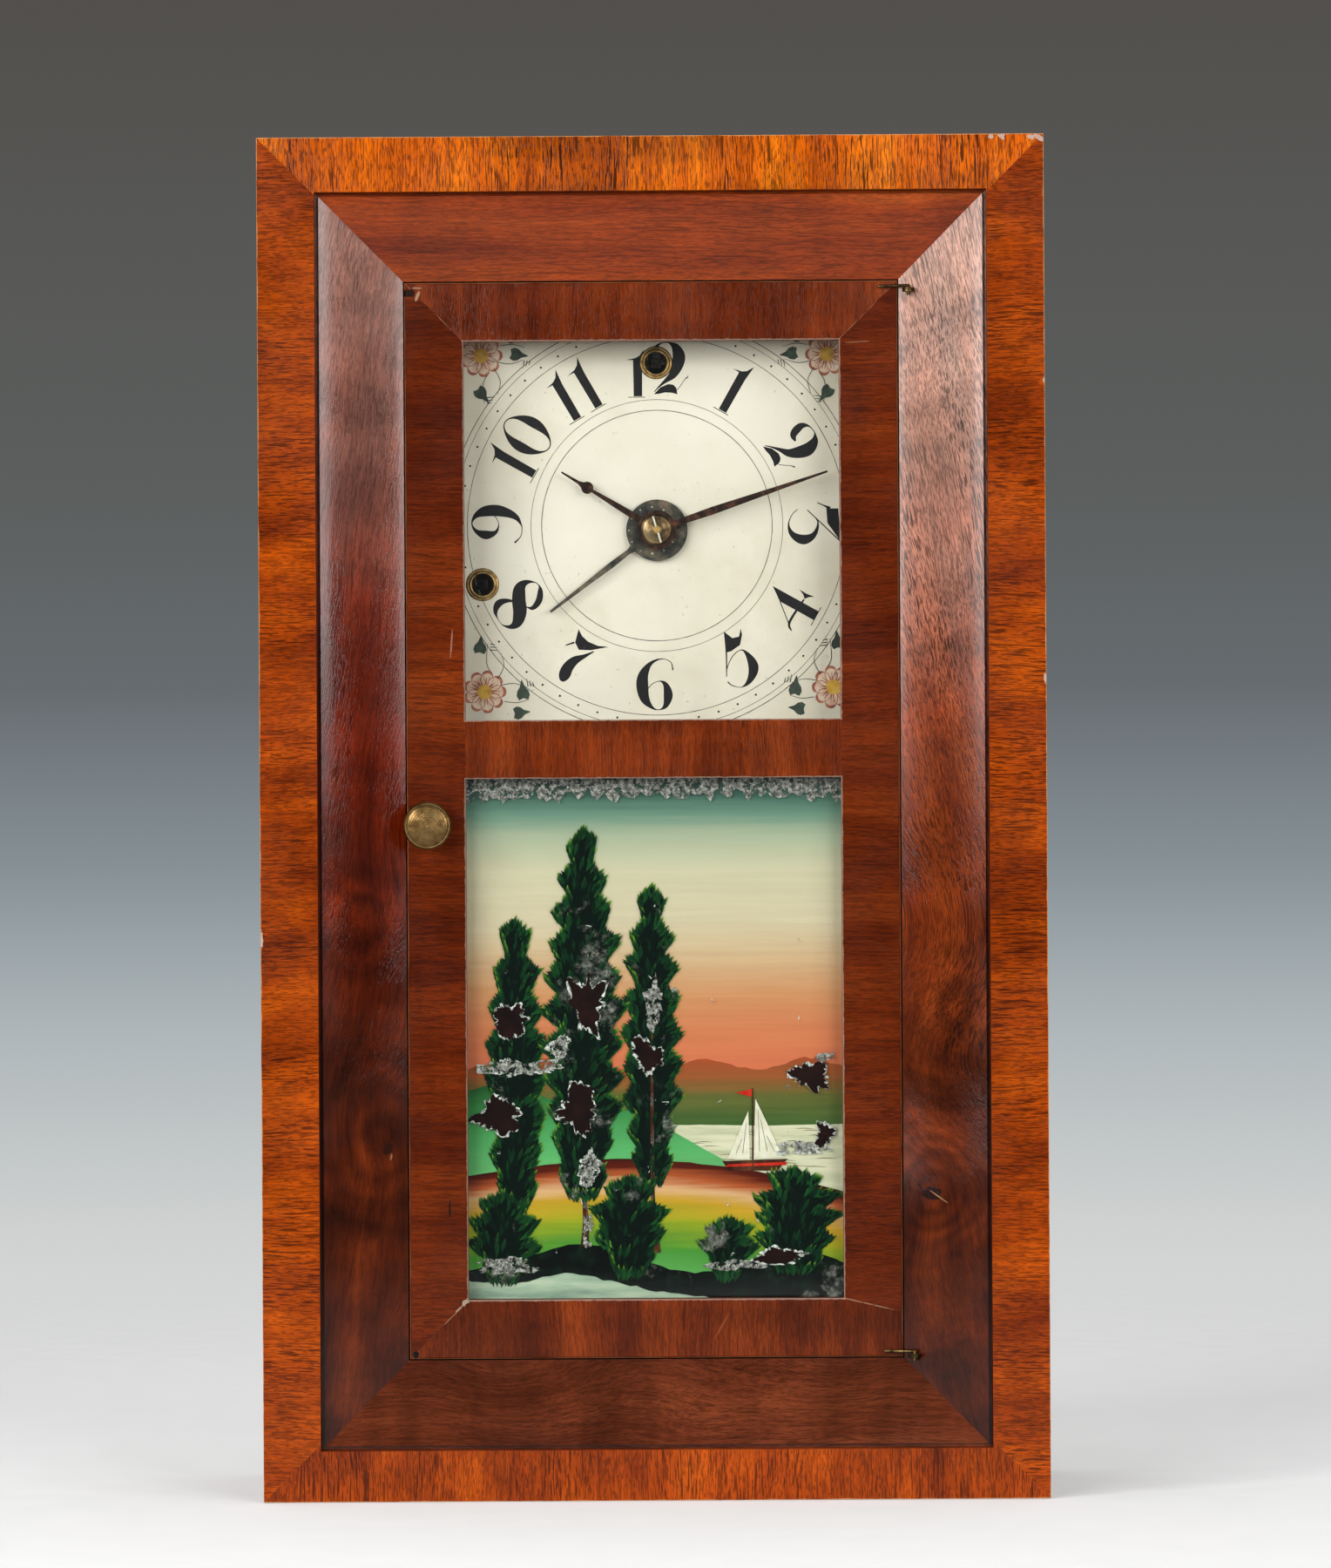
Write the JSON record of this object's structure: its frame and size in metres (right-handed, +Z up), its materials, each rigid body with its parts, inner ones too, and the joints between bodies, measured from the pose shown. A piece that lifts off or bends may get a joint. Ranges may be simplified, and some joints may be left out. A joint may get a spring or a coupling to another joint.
{
  "type": "ogee shelf clock",
  "caption": "Small wooden shelf clock with an ogee-moulded veneered front, a glazed door over dial and painted tablet, and a spring-driven pendulum and alarm movement.",
  "frame": {"origin": "middle of the case's underside", "axes": "+Z up the case, +X to the viewer's right, -Y out of the dial towards the viewer"},
  "size_m": [0.24, 0.095, 0.416],
  "materials": {
    "figured_veneer": "polished",
    "crossband_veneer": "polished",
    "pine": "raw",
    "painted_dial": "satin",
    "rolled_brass": "aged",
    "turned_brass": "polished",
    "steel": "bright",
    "blued_steel": "oxidised",
    "bell_metal": "bright",
    "window_glass": "polished",
    "painted_glass": "polished"
  },
  "bodies": {
    "case": {"side_left": "figured_veneer", "side_right": "figured_veneer", "top_board": "pine", "bottom_board": "pine", "back_board": "pine", "border_strips": "crossband_veneer", "ogee_top": "figured_veneer", "ogee_bottom": "figured_veneer", "ogee_left": "figured_veneer", "ogee_right": "figured_veneer", "dial_rails": "pine", "movement_blocks": "pine", "dial_plate": "painted_dial", "dial_pins": "turned_brass", "winding_grommets": "turned_brass", "hinge_eyes": "turned_brass", "movement_screws": "steel", "time_front_plate": "rolled_brass", "time_back_plate": "rolled_brass", "time_pillars": "rolled_brass", "suspension_cock": "rolled_brass", "time_mainspring": "steel", "alarm_plates": "rolled_brass", "alarm_pillars": "rolled_brass", "alarm_mainspring": "steel", "bell": "bell_metal", "bell_post": "steel"},
    "door": {"door_stile_left": "figured_veneer", "door_stile_right": "figured_veneer", "door_rails": "figured_veneer", "dial_glass": "window_glass", "tablet_glass": "painted_glass", "glazing_strips": "pine", "hinge_wires": "turned_brass"},
    "latch": {"knob": "turned_brass", "latch_tongue": "turned_brass"},
    "centre": {"centre_arbor": "steel", "centre_wheel": "rolled_brass", "cannon_pinion": "steel", "minute_hand": "blued_steel", "hand_washer": "turned_brass"},
    "second": {"second_wheel": "rolled_brass"},
    "great": {"great_wheel": "rolled_brass"},
    "winding": {"winding_arbor": "steel"},
    "click": {"time_click": "steel"},
    "third": {"third_wheel": "rolled_brass"},
    "escape": {"escape_arbor": "steel", "escape_wheel": "rolled_brass"},
    "minute_wheel": {"minute_wheel": "rolled_brass"},
    "hour": {"hour_wheel": "rolled_brass", "hour_hand": "blued_steel"},
    "alarm_setting": {"alarm_disc": "blued_steel"},
    "verge": {"verge": "steel"},
    "pendulum": {"pendulum_rod": "steel", "pendulum_bob": "rolled_brass", "rating_nut": "rolled_brass"},
    "alarm_great": {"alarm_wheel": "rolled_brass"},
    "alarm_winding": {"alarm_arbor": "steel"},
    "hammer": {"alarm_hammer": "steel"},
    "lever": {"alarm_lever": "steel"}
  },
  "joints": [
    {"name": "door_swing", "type": "hinge", "parent": "case", "child": "door", "pos_m": [0.079, -0.0371, 0.208], "axis": [0, 0, 1], "range_deg": [0, 115]},
    {"name": "knob_turn", "type": "hinge", "parent": "door", "child": "latch", "pos_m": [-0.0691, -0.028, 0.206], "axis": [0, 1, 0], "range_deg": [0, 90]},
    {"name": "minute_hand_turn", "type": "hinge", "parent": "case", "child": "centre", "pos_m": [0.0015, 0.02, 0.2969], "axis": [0, 1, 0], "continuous": true},
    {"name": "second_wheel_turn", "type": "hinge", "parent": "case", "child": "second", "pos_m": [0.0015, 0.02, 0.3203], "axis": [0, 1, 0], "continuous": true},
    {"name": "great_wheel_turn", "type": "hinge", "parent": "case", "child": "great", "pos_m": [0.0015, 0.02, 0.3488], "axis": [0, 1, 0], "continuous": true},
    {"name": "third_wheel_turn", "type": "hinge", "parent": "case", "child": "third", "pos_m": [0.0115, 0.02, 0.27597], "axis": [0, 1, 0], "continuous": true},
    {"name": "escape_wheel_turn", "type": "hinge", "parent": "case", "child": "escape", "pos_m": [0.0015, 0.02, 0.25637], "axis": [0, 1, 0], "continuous": true},
    {"name": "minute_wheel_turn", "type": "hinge", "parent": "case", "child": "minute_wheel", "pos_m": [0.00999, 0.02, 0.30539], "axis": [0, 1, 0], "continuous": true},
    {"name": "hour_hand_turn", "type": "hinge", "parent": "case", "child": "hour", "pos_m": [0.0015, 0.02, 0.2969], "axis": [0, 1, 0], "continuous": true},
    {"name": "alarm_setting", "type": "hinge", "parent": "hour", "child": "alarm_setting", "pos_m": [0.0015, 0.02, 0.2969], "axis": [0, 1, 0], "continuous": true},
    {"name": "time_winding", "type": "hinge", "parent": "great", "child": "winding", "pos_m": [0.0015, 0.02, 0.3488], "axis": [0, 1, 0], "continuous": true},
    {"name": "click_lift", "type": "hinge", "parent": "great", "child": "click", "pos_m": [0.0081, 0.02, 0.36023], "axis": [0, 1, 0], "range_deg": [0, 12]},
    {"name": "pendulum_swing", "type": "hinge", "parent": "case", "child": "pendulum", "pos_m": [0.0015, -0.0014, 0.27409], "axis": [0, 1, 0], "range_deg": [-3.5, 3.5]},
    {"name": "verge_rock", "type": "hinge", "parent": "case", "child": "verge", "pos_m": [0.0015, 0.0005, 0.27409], "axis": [0, 1, 0], "range_deg": [-3.5, 3.5]},
    {"name": "alarm_wheel_turn", "type": "hinge", "parent": "case", "child": "alarm_great", "pos_m": [-0.0526, 0.02, 0.2804], "axis": [0, 1, 0], "continuous": true},
    {"name": "alarm_winding", "type": "hinge", "parent": "alarm_great", "child": "alarm_winding", "pos_m": [-0.0526, 0.02, 0.2804], "axis": [0, 1, 0], "continuous": true},
    {"name": "hammer_strike", "type": "hinge", "parent": "case", "child": "hammer", "pos_m": [-0.0526, 0.004, 0.2654], "axis": [0, 1, 0], "range_deg": [-4.5, 4.5]},
    {"name": "lever_drop", "type": "hinge", "parent": "case", "child": "lever", "pos_m": [-0.0245, -0.0034, 0.2869], "axis": [0, 1, 0], "range_deg": [-2, 4]}
  ],
  "couplings": [
    {"joint": "second_wheel_turn", "follows": "minute_hand_turn", "ratio": -0.33333},
    {"joint": "great_wheel_turn", "follows": "minute_hand_turn", "ratio": 0.083333},
    {"joint": "third_wheel_turn", "follows": "minute_hand_turn", "ratio": -9},
    {"joint": "escape_wheel_turn", "follows": "minute_hand_turn", "ratio": 90},
    {"joint": "minute_wheel_turn", "follows": "minute_hand_turn", "ratio": -0.33333},
    {"joint": "hour_hand_turn", "follows": "minute_hand_turn", "ratio": 0.083333},
    {"joint": "verge_rock", "follows": "pendulum_swing", "ratio": 1}
  ]
}
